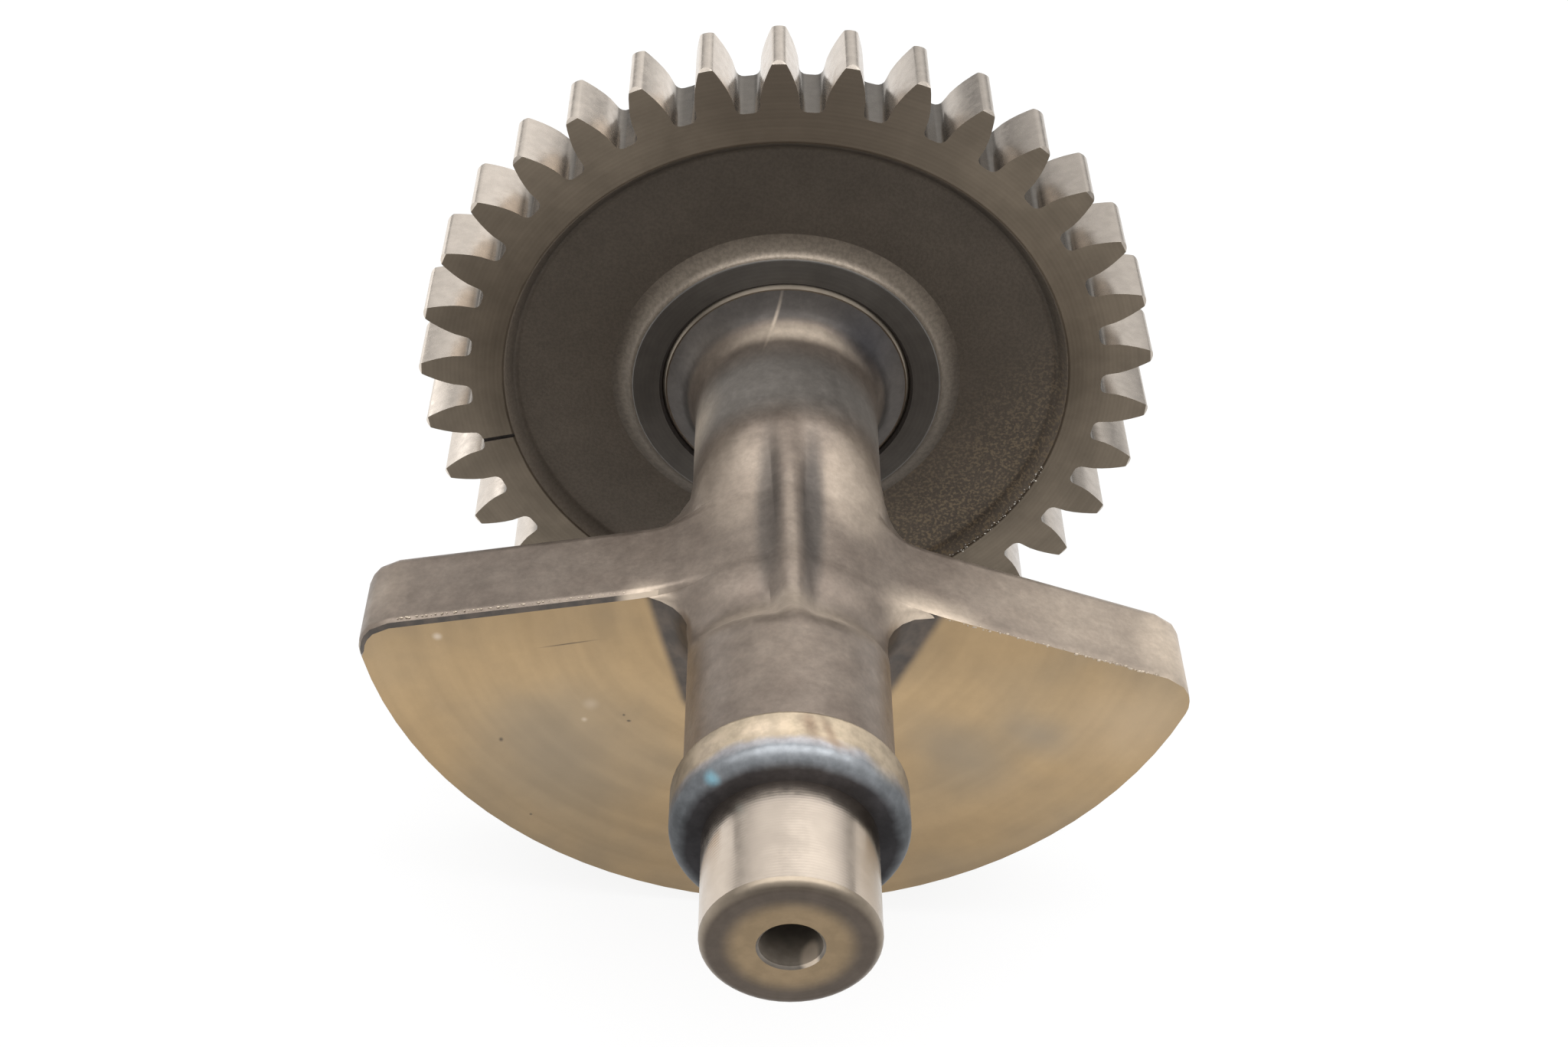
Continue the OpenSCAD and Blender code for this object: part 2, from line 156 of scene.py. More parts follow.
class GearFinish(PropertyGroup):
    """Radii that bound the gear's finishes, and its colours."""

    bore_r: length("Bore radius", "Radius of the gear's bore", 17.41)
    hub_r: length("Hub radius", "Radius of the hub's flat face", 21.6)
    wall_r: length("Wall radius", "Radius of the hub wall's foot", 24.5)
    rim_r: length("Rim radius", "Radius at which the rim's flat face begins", 39.5)
    root_r: length("Root radius", "Radius of the tooth roots", 44.1)
    tooth_bevel: length("Tooth bevel", "Broken edge round the ends of the teeth", 0.15)
    turned: colour("Turned rim", "Turned face of the rim", "#766c5f")
    hub: colour("Turned hub", "Turned face of the hub", "#726f6b")
    # Also painted as shade on the rim's top
    web: colour("Blasted web", "Blasted web between the hub and the rim, and painted shade on the rim's top", "#635a50")
    web_fleck: colour("Web fleck", "Brown flecks in the blasted web", "#8f7d64")
    wall: colour("Hub wall", "Hollow wall of the hub", "#786e62")
    # A painted highlight, with some wear, along the hub wall's edge
    wall_edge_highlight: colour("Hub wall edge highlight", "Painted highlight and some wear on the hub wall's edge", "#b3a697")
    flank: colour("Ground flank", "Ground flanks of the teeth", "#d6cbbf")
    root: colour("Tooth root", "Roots of the teeth, left from hobbing", "#78726b")
    # Dirt in the timing mark, and painted shade in the gap round the bore
    mark: colour("Timing mark", "Dirt in the timing mark, and painted shade in the gap round the bore", "#332c27")
    burr: colour("Burr", "Bright burr at the recess's edge", "#e2ddd4")


class StageSetup(PropertyGroup):
    """Light, floor and camera of the stage."""

    floor: colour("Floor", "Colour of the floor", "#ffffff")
    camera_place: FloatVectorProperty(
        name="Camera place", description="Place of the camera",
        default=(-0.02048, -0.17629, 0.19175), subtype="TRANSLATION")
    camera_turn: FloatVectorProperty(
        name="Camera turn", description="Turn of the camera",
        default=(0.87814, -0.0988, -0.00449), subtype="EULER")
    lens: FloatProperty(name="Lens", description="Focal length in millimetres", default=53.1, min=10)
    softbox: FloatProperty(
        name="Softbox", description="Power of the overhead softbox", default=4.2, min=0, unit="POWER")
    strip: FloatProperty(
        name="Strip light", description="Power of the strip light at the back left",
        default=0.12, min=0, unit="POWER")


class BalanceShaftSetup(PropertyGroup):
    """All settings of the dressed balance shaft."""

    shaft: PointerProperty(type=ShaftFinish)
    gear: PointerProperty(type=GearFinish)
    stage: PointerProperty(type=StageSetup)


def add_node(tree, kind, *inputs, output=None, **settings):
    """Adds a node with its settings, sets or links its inputs in their order, and returns one output."""
    node = tree.nodes.new("ShaderNode" + kind)
    for name, value in settings.items():
        setattr(node, name, value)
    sockets = [socket for socket in node.inputs if socket.enabled]
    for socket, value in zip(sockets, inputs):
        if isinstance(value, NodeSocket):
            tree.links.new(value, socket)
        elif value is not None:
            socket.default_value = value
    return node.outputs[output] if output else next(socket for socket in node.outputs if socket.enabled)


def opaque(rgb):
    """A colour with full alpha, as a colour socket takes it."""
    return (*rgb, 1.0)


def new_steel(name, metallic, roughness=0.5):
    """A steel material, its node tree and the place on the piece, in metres."""
    material = bpy.data.materials.new(name)
    material.use_nodes = True
    tree = material.node_tree
    shader = tree.nodes["Principled BSDF"]
    shader.inputs["Metallic"].default_value = metallic
    shader.inputs["Roughness"].default_value = roughness
    return material, tree, add_node(tree, "TexCoord", output="Object")


def dress(tree, base, roughness=None, relief=None, depth=0.0):
    """Links a colour, a roughness and a relief of the given depth to the steel's shader."""
    shader = tree.nodes["Principled BSDF"]
    tree.links.new(base, shader.inputs["Base Color"])
    if roughness:
        tree.links.new(roughness, shader.inputs["Roughness"])
    if relief:
        tree.links.new(add_node(tree, "Bump", 1.0, depth, None, relief), shader.inputs["Normal"])


def clouds(tree, place, width, low, high, detail=3.0):
    """Cloudy noise whose blotches are about as wide as given, spread from low to high."""
    noise = add_node(tree, "TexNoise", place, 1 / width, detail, 0.6)
    return add_node(tree, "MapRange", noise, 0.32, 0.7, low, high, **EASED)


def oval(tree, place, centre, size, turn=(0, 0, 0), core=0.0):
    """1 in the middle of an oval, fading to 0 at its edge.

    Its centre and half sizes are in millimetres and its turn is in degrees. The fade starts at the share of
    its half sizes that core gives.
    """
    angles = [math.radians(degrees) for degrees in turn]
    inside = add_node(
        tree, "Mapping", place, Vector(centre) * MM, angles, Vector(size) * MM, vector_type="TEXTURE")
    reach = add_node(tree, "VectorMath", inside, operation="LENGTH")
    return add_node(tree, "MapRange", reach, 1.0, core, 0.0, 1.0, **EASED)


def stained(tree, place, base, stains):
    """Lays oval stains on a colour, each with its strength, tint, centre, half sizes, turn and core."""
    for strength, tint, *shape in stains:
        cover = add_node(tree, "Math", oval(tree, place, *shape), strength, operation="MULTIPLY")
        base = add_node(tree, "Mix", cover, base, opaque(tint), **COLOURS)
    return base


def from_axis(tree, place):
    """Distance from the shaft's axis."""
    flat = add_node(tree, "VectorMath", place, (1, 0, 1), operation="MULTIPLY")
    return add_node(tree, "VectorMath", flat, operation="LENGTH")


def turning_streaks(tree, place, width, low, high):
    """Streaks that run round the shaft's axis, about as wide as given, spread from low to high."""
    parts = [add_node(tree, "SeparateXYZ", place, output=axis) for axis in "XZ"]
    angle = add_node(tree, "Math", *parts, operation="ARCTAN2")
    across = add_node(tree, "Math", from_axis(tree, place), 1 / width, operation="MULTIPLY")
    noise = add_node(tree, "TexNoise", add_node(tree, "CombineXYZ", across, angle), 1.0, 2.0, 0.5)
    return add_node(tree, "MapRange", noise, 0.3, 0.7, low, high, **EASED)


def blasted_forging(finish):
    """Shot-blasted forged steel: a dull grey-brown skin with brown clouds, a fine grit and painted highlights
    on its high spots.

    Dark scale stays at the collar, where the corner beside the gear is painted darker as shade. Painted shade
    lies in the hollows beside the flash line and on the left arm.
    """
    material, tree, place = new_steel("blasted forged steel", SCALE_METALLIC)
    brown = clouds(tree, place, 8 * MM, 0, 1, 4)
    base = add_node(tree, "Mix", brown, opaque(finish.skin), opaque(finish.skin_stain), **COLOURS)
    # Scale stays where the neck rises to the collar, and painted shade darkens it further in the corner beside
    # the gear
    radius = from_axis(tree, place)
    along = add_node(tree, "SeparateXYZ", place, output="Y")
    collar = add_node(tree, "MapRange", radius, 13.3 * MM, 14.0 * MM, 0.0, 1.0, **EASED)
    shaded_beside_gear = add_node(
        tree, "MapRange", along, GEAR_FRONT - 8 * MM, GEAR_FRONT - 5 * MM, 0.0, 1.0, **EASED)
    scale = add_node(tree, "Math", collar, shaded_beside_gear, operation="MULTIPLY")
    base = add_node(tree, "Mix", scale, base, opaque(finish.oxide_and_shade), **COLOURS)
    base = stained(tree, place, base, (
        # Painted highlights on the saddle's lobes
        (0.2, finish.highlight_and_wear, (-8, 54.5, 7.5), (7, 11, 10), (0, 0, 0), 0.45),
        (0.31, finish.highlight_and_wear, (8, 55, 7.5), (7, 11, 10), (0, 0, 0), 0.45),
        # Painted shade in the hollows beside the flash ridge, and a painted highlight on its crest
        (0.7, finish.oxide_and_shade, (-3.3, 48, 9), (2.3, 20, 8), (0, 0, 0), 0.3),
        (0.85, finish.oxide_and_shade, (2.2, 48, 9), (2.3, 20, 8), (0, 0, 0), 0.3),
        (0.1, finish.highlight_and_wear, (-0.5, 42, 9), (0.9, 22, 8), (0, 0, 1.8), 0.3),
        # Painted highlights at the foot of the saddle and on top of the boss
        (0.3, finish.highlight_and_wear, (0, 28.5, 8), (16, 6, 11), (0, 0, 0), 0.4),
        (0.1, finish.highlight_and_wear, (-2, 20, 12), (10, 10, 6)),
        # Painted highlights at the arms' roots and ends and on the right arm, and painted shade on the left arm
        (0.7, finish.highlight_and_wear, (-17.5, 38.8, 0.2), (5.5, 4, 3)),
        (0.95, finish.highlight_and_wear, (18, 38.6, 0.6), (12, 6, 5.5)),
        (0.2, finish.oxide_and_shade, (-34, 46, -4), (26, 14, 12)),
        (0.35, finish.highlight_and_wear, (38, 46, -5), (26, 14, 12)),
        (0.8, finish.highlight_and_wear, (51.5, 46, -8.5), (8.5, 15, 9)),
        (0.2, finish.highlight_and_wear, (-51.5, 46, -7.5), (4.5, 10, 6)),
        # Greyer neck, a painted glow before the collar, the collar darker at its right and lighter at its left,
        # a painted highlight on the neck's left, and a scratch
        (0.85, finish.neck, (-3, 71, 6), (26, 9.5, 24), (0, 0, 0), 0.4),
        (0.95, finish.highlight_and_wear, (0.3, 80.9, 9), (13, 2.3, 14)),
        (0.9, finish.dark_tint_and_shade, (10, 83.5, 10), (8, 5, 10)),
        (0.1, finish.highlight_and_wear, (-11.5, 82, 7), (7, 4.5, 9)),
        (0.5, finish.highlight_and_wear, (-12.5, 71, 2), (6, 9, 9)),
        (0.45, finish.highlight_and_wear, (-3.1, 82, 13.4), (0.4, 6, 8), (0, 0, -16)),
    ))
    base = add_node(tree, "Mix", 1.0, base, clouds(tree, place, 2.2 * MM, 0.92, 1.06), **MULTIPLY)
    base = add_node(tree, "Mix", 1.0, base, clouds(tree, place, 0.7 * MM, 0.93, 1.05), **MULTIPLY)
    # The painted glow before the collar is made matte as well, so that it stays pale
    dust_and_glow = oval(tree, place, (0.3, 80.9, 9), (13, 2.3, 14))
    # Share, centre and half sizes of the places where dusty scale hides most of the metal; the one at the
    # saddle's foot also keeps its painted highlight pale
    dusty_scale = (
        (0.9, (-11, 71, 4), (19, 11, 20)),
        (0.6, (12, 71, 4), (9, 10, 14)),
        (1.0, (0, 28.5, 8), (16, 6, 11)),
    )
    for share, centre, size in dusty_scale:
        pale = add_node(tree, "Math", oval(tree, place, centre, size), share, operation="MULTIPLY")
        dust_and_glow = add_node(tree, "Math", dust_and_glow, pale, operation="MAXIMUM")
    bare = add_node(tree, "MapRange", dust_and_glow, 0.0, 1.0, SCALE_METALLIC, 0.15)
    tree.links.new(bare, tree.nodes["Principled BSDF"].inputs["Metallic"])
    # Shot leaves dents of about 0.2 mm, which are drawn 0.6 mm wide so that they show
    grit = add_node(tree, "TexNoise", place, 1 / (0.6 * MM), 3.0, 0.6)
    dress(tree, base, clouds(tree, place, 2.5 * MM, 0.36, 0.46), grit, 0.02 * MM)
    return material


def faced_steel(finish):
    """Faced and stained steel: a golden tan plane with grey clouds, faint turning arcs, scratches and pits.

    The facing cut has left the forging's skin standing in the hollow beside the boss, painted dark there as
    shade.
    Painted shade also darkens the plane towards the bottom, and a little towards its top.
    """
    material, tree, place = new_steel("faced steel", 1.0)
    plane = finish.weight_front / MM
    greyer = clouds(tree, place, 24 * MM, 0, 1)
    base = add_node(tree, "Mix", greyer, opaque(finish.faced), opaque(finish.faced_stain), **COLOURS)
    base = add_node(tree, "Mix", 1.0, base, turning_streaks(tree, place, 3 * MM, 0.95, 1.05), **MULTIPLY)
    base = add_node(tree, "Mix", 1.0, base, clouds(tree, place, 1.5 * MM, 0.97, 1.02), **MULTIPLY)
    base = stained(tree, place, base, (
        # Grey patches, and pale wear at the right
        (0.55, finish.grey_stain, (34.9, plane, -19.2), (8, 9, 5.5), (0, 35, 0)),
        (0.4, finish.grey_stain, (25, plane, -23.5), (14, 9, 7), (0, 35, 0)),
        (0.4, finish.grey_stain, (-27, plane, -28), (19, 9, 14), (0, 20, 0)),
        (0.22, finish.burr, (47, plane, -16), (13, 9, 12)),
        # Bright specks
        (0.9, finish.highlight_and_wear, (-43.6, plane, -9), (0.9, 2, 0.9)),
        (0.3, finish.highlight_and_wear, (-23.8, plane, -19), (1.5, 2, 1.5)),
        (0.6, finish.highlight_and_wear, (-24.5, plane, -21.9), (0.6, 2, 0.6)),
        # A scratch and pits
        (0.8, finish.oxide_and_shade, (-27.1, plane, -8.7), (5.2, 2, 0.16), (0, -16, 0)),
        (0.8, finish.oxide_and_shade, (-35.2, plane, -26.6), (0.45, 2, 0.6)),
        (0.9, finish.oxide_and_shade, (-18.7, plane, -21.6), (0.45, 2, 0.3)),
        (0.8, finish.oxide_and_shade, (-19.4, plane, -20.6), (0.3, 2, 0.3)),
        (0.8, finish.oxide_and_shade, (-30.9, plane, -40.5), (0.3, 2, 0.3)),
    ))
    across, height = (add_node(tree, "SeparateXYZ", place, output=axis) for axis in "XZ")
    # Painted shade: the plane is darker towards the bottom and a little darker towards its top
    painted_shade_below = add_node(tree, "MapRange", height, -50 * MM, -16 * MM, 0.7, 1.0, **EASED)
    painted_shade_above = add_node(tree, "MapRange", height, -16 * MM, -3 * MM, 1.0, 0.85, **EASED)
    for level in (painted_shade_below, painted_shade_above):
        base = add_node(tree, "Mix", 1.0, base, level, **MULTIPLY)
    # The hollow narrows downwards on both sides of the boss, and ends near it
    aside = add_node(tree, "Math", across, operation="ABSOLUTE")
    lean = add_node(tree, "VectorMath", place, (-0.05, 0, -0.335), operation="DOT_PRODUCT")
    reach = add_node(tree, "Math", aside, lean, operation="ADD")
    beside = add_node(tree, "MapRange", reach, 19.2 * MM, 17.6 * MM, 0.0, 1.0, **EASED)
    near = add_node(tree, "MapRange", from_axis(tree, place), 22.5 * MM, 20.5 * MM, 0.0, 1.0, **EASED)
    hollow = add_node(tree, "Math", beside, near, operation="MULTIPLY")
    # Forged skin in the hollow, painted dark in scale colours as shade
    brown = clouds(tree, place, 4 * MM, 0, 0.6)
    skin = add_node(tree, "Mix", brown, opaque(finish.oxide_and_shade), opaque(finish.skin_stain), **COLOURS)
    base = add_node(tree, "Mix", hollow, base, skin, **COLOURS)
    # Facing leaves arcs about 0.2 mm apart, which are drawn 0.9 mm apart so that they show
    arcs = add_node(
        tree, "TexWave", place, WAVE_LENGTH / (0.9 * MM), 0.4, 2.0, 0.3, output="Fac",
        wave_type="RINGS", rings_direction="Y")
    dress(tree, base, clouds(tree, place, 6 * MM, 0.38, 0.48), arcs, 0.003 * MM)
    return material


def shaded_scale_edge(finish):
    """Dull scale on the arm's rolled front edge, dark also as painted shade, with a painted highlight at the
    arm's root.
    """
    material, tree, place = new_steel("shaded scale-covered edge", SCALE_METALLIC)
    brown = clouds(tree, place, 2 * MM, 0, 0.5)
    base = add_node(tree, "Mix", brown, opaque(finish.oxide_and_shade), opaque(finish.skin_stain), **COLOURS)
    across = add_node(tree, "SeparateXYZ", place, output="X")
    # Painted highlight towards the arm's root
    root = add_node(tree, "MapRange", across, -22 * MM, -19.5 * MM, 0.0, 1.0, **EASED)
    base = add_node(tree, "Mix", root, base, opaque(finish.highlight_and_wear), **COLOURS)
    dress(tree, base, clouds(tree, place, 1 * MM, 0.42, 0.55))
    return material


def burnished_burr(name, rgb):
    """Thin burr that a tool has pushed up: small beads of bright bare steel."""
    material, tree, place = new_steel(name, 1.0)
    base = add_node(tree, "Mix", 1.0, opaque(rgb), clouds(tree, place, 1 * MM, 0.7, 1.0), **MULTIPLY)
    dress(tree, base)
    return material


def ground_steel(finish):
    """Ground bearing journal: bright and nearly mirror-like, with fine marks round the axis and painted shade
    on its right.
    """
    material, tree, place = new_steel("ground steel", 1.0)
    uneven = clouds(tree, place, 5 * MM, 0.92, 1.0)
    base = add_node(tree, "Mix", 1.0, opaque(finish.ground), uneven, **MULTIPLY)
    # Painted shade on the journal's right side, in the end ring's tan
    base = stained(tree, place, base, ((0.95, finish.end_ring_and_journal_shade, (9, -7, 4.5), (5, 18, 10)),))
    # Grinding marks are finer than 0.1 mm, and are drawn 0.4 mm apart so that they show
    marks = add_node(
        tree, "TexWave", place, WAVE_LENGTH / (0.4 * MM), 2.0, 2.0, output="Fac",
        wave_type="BANDS", bands_direction="Y")
    dress(tree, base, clouds(tree, place, 3 * MM, 0.18, 0.27), marks, 0.0015 * MM)
    return material


def tinted_steel(finish):
    """Heat-tinted bearing shoulder: straw outside, then violet, a smoky blue edge and a dark front that is
    partly painted shade.
    """
    material, tree, place = new_steel("heat-tinted steel", 1.0)
    along = add_node(tree, "SeparateXYZ", place, output="Y")
    # The tints run along the shoulder's outside and then down its front
    inward = add_node(tree, "Math", finish.shoulder_r, from_axis(tree, place), operation="SUBTRACT")
    run = add_node(tree, "Math", along, inward, operation="SUBTRACT")
    wavy = add_node(tree, "Math", run, clouds(tree, place, 5 * MM, -0.3 * MM, 0.3 * MM), operation="ADD")
    share = add_node(tree, "MapRange", wavy, -4 * MM, 8 * MM, 0.0, 1.0)
    # The dark tint at the front face is heat tint darkened as painted shade
    tints = {
        0.0: finish.dark_tint_and_shade, 0.17: finish.dark_tint_and_shade, 0.29: finish.blue, 0.47: finish.blue, 0.55: finish.violet,
        0.63: finish.straw, 1.0: finish.straw}
    ramp = tree.nodes.new("ShaderNodeValToRGB")
    tree.links.new(share, ramp.inputs[0])
    for position in list(tints)[1:-1]:
        ramp.color_ramp.elements.new(position)
    for stop, (position, tint) in zip(ramp.color_ramp.elements, tints.items()):
        stop.position, stop.color = position, opaque(tint)
    base = stained(tree, place, ramp.outputs[0], (
        # Painted highlight on the straw at the top, and brown breaks in it
        (0.3, finish.highlight_and_wear, (-4.5, 4.6, 13), (4.5, 2.6, 4)),
        (0.9, finish.burnt, (0.9, 5.2, 13.7), (1.5, 3.6, 4), (0, 0, 14)),
        (0.8, finish.burnt, (3, 4.6, 13.4), (1.1, 4, 4), (0, 0, 22)),
        (0.6, finish.burnt, (3.6, 3, 13.2), (3.2, 0.9, 3), (0, 0, -12)),
        # A painted highlight at the left, straw at the right, and a painted cyan glint
        (0.4, finish.highlight_and_wear, (-10.3, 4.4, 9), (3.5, 3, 4)),
        (0.8, finish.straw, (9.6, 3, 9.8), (4, 2.4, 4)),
        (0.9, finish.cyan, (-9.6, 0.4, 8.9), (1.5, 1.6, 1.2)),
    ))
    height = add_node(tree, "SeparateXYZ", place, output="Z")
    # Painted light: the shoulder is lighter at its top and darker at its sides
    painted_light_above = add_node(tree, "MapRange", height, 2 * MM, 13.4 * MM, 0.5, 1.4, **EASED)
    for level in (painted_light_above, clouds(tree, place, 2 * MM, 0.8, 1.1)):
        base = add_node(tree, "Mix", 1.0, base, level, **MULTIPLY)
    dress(tree, base, clouds(tree, place, 3 * MM, 0.46, 0.56))
    return material


def end_face_steel(finish):
    """Journal's end: a tan ring round the centre hole, a darker turned ring outside it and painted light on its
    rounded edge.
    """
    material, tree, place = new_steel("turned end face", 1.0, 0.38)
    radius = from_axis(tree, place)
    outer = add_node(tree, "MapRange", radius, 5.4 * MM, 8 * MM, 0.0, 1.0, **EASED)
    base = add_node(tree, "Mix", outer, opaque(finish.end_ring_and_journal_shade), opaque(finish.end_face), **COLOURS)
    # Painted light on the rounded edge, against its dark shading
    painted_light = add_node(tree, "MapRange", radius, 9 * MM, JOURNAL_R, 0.0, 0.8, **EASED)
    base = add_node(tree, "Mix", painted_light, base, opaque(finish.rim), **COLOURS)
    base = add_node(tree, "Mix", 1.0, base, clouds(tree, place, 2 * MM, 0.9, 1.05), **MULTIPLY)
    # Turning leaves rings about 0.1 mm apart, which are drawn 0.5 mm apart so that they show
    rings = add_node(
        tree, "TexWave", place, WAVE_LENGTH / (0.5 * MM), 0.3, 2.0, 0.3, output="Fac",
        wave_type="RINGS", rings_direction="Y")
    dress(tree, base, None, rings, 0.004 * MM)
    return material


def drilled_steel(finish):
    """Drilled centre hole: bare steel dulled by a layer of dry oil, with painted shade deep in and at its lip,
    and a painted glint.
    """
    material, tree, place = new_steel("drilled steel", 0.3, 0.35)
    oily = clouds(tree, place, 1.5 * MM, 0.8, 1.0)
    base = add_node(tree, "Mix", 1.0, opaque(finish.hole), oily, **MULTIPLY)
    depth = add_node(tree, "SeparateXYZ", place, output="Y")
    # Painted shade deeper in the hole and at its lip
    painted_shade_inside = add_node(
        tree, "MapRange", depth, FRONT_END + 0.5 * MM, FRONT_END + 5 * MM, 1.0, 0.4, **EASED)
    painted_shade_at_lip = add_node(tree, "MapRange", depth, FRONT_END, FRONT_END + 0.7 * MM, 0.4, 1.0, **EASED)
    for level in (painted_shade_inside, painted_shade_at_lip):
        base = add_node(tree, "Mix", 1.0, base, level, **MULTIPLY)
    # Painted glint on the wall at the lower right
    glint = (1.0, finish.highlight_and_wear, (2.4, -13.9, -2.5), (1.6, 2.5, 1.6), (0, 0, 0), 0.5)
    dress(tree, stained(tree, place, base, (glint,)))
    return material


def turned_steel(name, rgb, pitch, roughness=0.4, stains=()):
    """Turned steel: rings round the axis, drawn coarser than real ones so that they show, and streaks."""
    material, tree, place = new_steel(name, 1.0, roughness)
    base = add_node(tree, "Mix", 1.0, opaque(rgb), clouds(tree, place, 7 * MM, 0.86, 1.08, 4), **MULTIPLY)
    base = stained(tree, place, base, stains)
    rings = add_node(
        tree, "TexWave", place, WAVE_LENGTH / pitch, 0.5, 2.0, 0.3, output="Fac",
        wave_type="RINGS", rings_direction="Y")
    lines = add_node(tree, "MapRange", rings, 0.2, 0.9, 0.98, 1.015, **EASED)
    base = add_node(tree, "Mix", 1.0, base, lines, **MULTIPLY)
    base = add_node(tree, "Mix", 1.0, base, turning_streaks(tree, place, 1.2 * MM, 0.96, 1.04), **MULTIPLY)
    dress(tree, base, None, rings, 0.002 * MM)
    return material


def blasted_web(finish):
    """Blasted gear web: dark brown with a fine grit, and brown flecks that gather at the lower right.
    It is painted lighter near the rim's edge and darker towards the top, as light and shade.
    """
    material, tree, place = new_steel("blasted gear web", SCALE_METALLIC)
    # Shot leaves dents of about 0.2 mm, which are drawn 0.45 mm wide so that they show
    grit = add_node(tree, "TexNoise", place, 1 / (0.45 * MM), 3.0, 0.65)
    uneven = clouds(tree, place, 10 * MM, 0.92, 1.08)
    base = add_node(tree, "Mix", 1.0, opaque(finish.web), uneven, **MULTIPLY)
    grain = add_node(tree, "MapRange", grit, 0.35, 0.65, 0.9, 1.07, **EASED)
    base = add_node(tree, "Mix", 1.0, base, grain, **MULTIPLY)
    radius = from_axis(tree, place)
    # Painted light near the rim's edge, against the shade under the rim
    edge = add_node(tree, "MapRange", radius, finish.rim_r - 1.4 * MM, finish.rim_r, 1.0, 1.6, **EASED)
    base = add_node(tree, "Mix", 1.0, base, edge, **MULTIPLY)
    height = add_node(tree, "SeparateXYZ", place, output="Z")
    # Painted shade towards the top
    painted_shade_above = add_node(tree, "MapRange", height, 0.0, 36 * MM, 0.92, 0.65, **EASED)
    base = add_node(tree, "Mix", 1.0, base, painted_shade_above, **MULTIPLY)
    lower_right = add_node(tree, "VectorMath", place, (0.75, 0, -0.66), operation="DOT_PRODUCT")
    cover = add_node(tree, "MapRange", lower_right, 16 * MM, 36 * MM, 0.0, 0.75, **EASED)
    flecks = add_node(tree, "MapRange", grit, 0.48, 0.62, 0.0, 1.0, **EASED)
    flecks = add_node(tree, "Math", flecks, cover, operation="MULTIPLY")
    base = add_node(tree, "Mix", flecks, base, opaque(finish.web_fleck), **COLOURS)
    dress(tree, base, None, grit, 0.04 * MM)
    return material


def hub_wall_steel(finish):
    """Hub's hollow wall: brown at its foot, with a painted highlight and some wear along its edge, and painted
    shade below its top.
    """
    material, tree, place = new_steel("blasted hub wall", SCALE_METALLIC, 0.4)
    radius = from_axis(tree, place)
    up = add_node(tree, "MapRange", radius, finish.wall_r, finish.hub_r + 0.6 * MM, 0.0, 1.0, **EASED)
    base = add_node(tree, "Mix", up, opaque(finish.web), opaque(finish.wall), **COLOURS)
    # Painted highlight, with some wear, along the wall's edge
    painted_light = add_node(tree, "MapRange", radius, finish.hub_r + 0.9 * MM, finish.hub_r, 0.0, 0.7, **EASED)
    base = add_node(tree, "Mix", painted_light, base, opaque(finish.wall_edge_highlight), **COLOURS)
    # Shot leaves dents of about 0.2 mm, which are drawn 0.55 mm wide so that they show
    grit = add_node(tree, "TexNoise", place, 1 / (0.55 * MM), 3.0, 0.65)
    grain = add_node(tree, "MapRange", grit, 0.35, 0.65, 0.85, 1.12, **EASED)
    base = add_node(tree, "Mix", 1.0, base, grain, **MULTIPLY)
    height = add_node(tree, "SeparateXYZ", place, output="Z")
    # Painted shade: the wall is darker below its top
    painted_shade_below = add_node(tree, "MapRange", height, 4 * MM, 21 * MM, 0.7, 1.0, **EASED)
    base = add_node(tree, "Mix", 1.0, base, painted_shade_below, **MULTIPLY)
    dress(tree, base, None, grit, 0.03 * MM)
    return material


def ground_flank(finish):
    """Ground tooth flanks: bright steel, duller towards the roots, and painted darker on the right as shade."""
    material, tree, place = new_steel("ground tooth flank", 1.0)
    height = add_node(
        tree, "MapRange", from_axis(tree, place), finish.root_r, finish.root_r + 2.2 * MM, 0.0, 1.0, **EASED)
    base = add_node(tree, "Mix", height, opaque(finish.root), opaque(finish.flank), **COLOURS)
    base = add_node(tree, "Mix", 1.0, base, clouds(tree, place, 1.6 * MM, 0.92, 1.04), **MULTIPLY)
    across = add_node(tree, "SeparateXYZ", place, output="X")
    # Painted shade on the right-hand flanks
    painted_shade_right = add_node(tree, "MapRange", across, -12 * MM, 24 * MM, 1.06, 0.72, **EASED)
    base = add_node(tree, "Mix", 1.0, base, painted_shade_right, **MULTIPLY)
    dress(tree, base, clouds(tree, place, 1.2 * MM, 0.2, 0.3))
    return material


def scribed_mark(finish):
    """Scribed timing mark filled with dull dark dirt, and the gap round the bore, which the same colour darkens
    as painted shade.
    """
    material, tree, place = new_steel("dirt-filled mark and shaded gap", 0.0, 0.7)
    crumbs = clouds(tree, place, 0.8 * MM, 0.7, 1.1)
    dress(tree, add_node(tree, "Mix", 1.0, opaque(finish.mark), crumbs, **MULTIPLY))
    return material


def merged_copy(node):
    """A bmesh of a CAD node's mesh whose loose triangles are joined."""
    mesh = bmesh.new()
    mesh.from_mesh(frame["nodes"][node].data)
    bmesh.ops.remove_doubles(mesh, verts=mesh.verts, dist=0.002 * MM)
    return mesh


def add_piece(mesh, name, materials):
    """Makes a piece of a bmesh, which rides on the root body."""
    data = bpy.data.meshes.new(name)
    mesh.to_mesh(data)
    mesh.free()
    for material in materials:
        data.materials.append(material)
    piece = bpy.data.objects.new(name, data)
    bpy.context.scene.collection.objects.link(piece)
    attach(piece, "root")
    return piece


def paint_zones(mesh, materials, zone_of):
    """Gives each face the material of its zone."""
    zones = list(materials)
    for face in mesh.faces:
        face.material_index = zones.index(zone_of(face.calc_center_median(), face.normal))


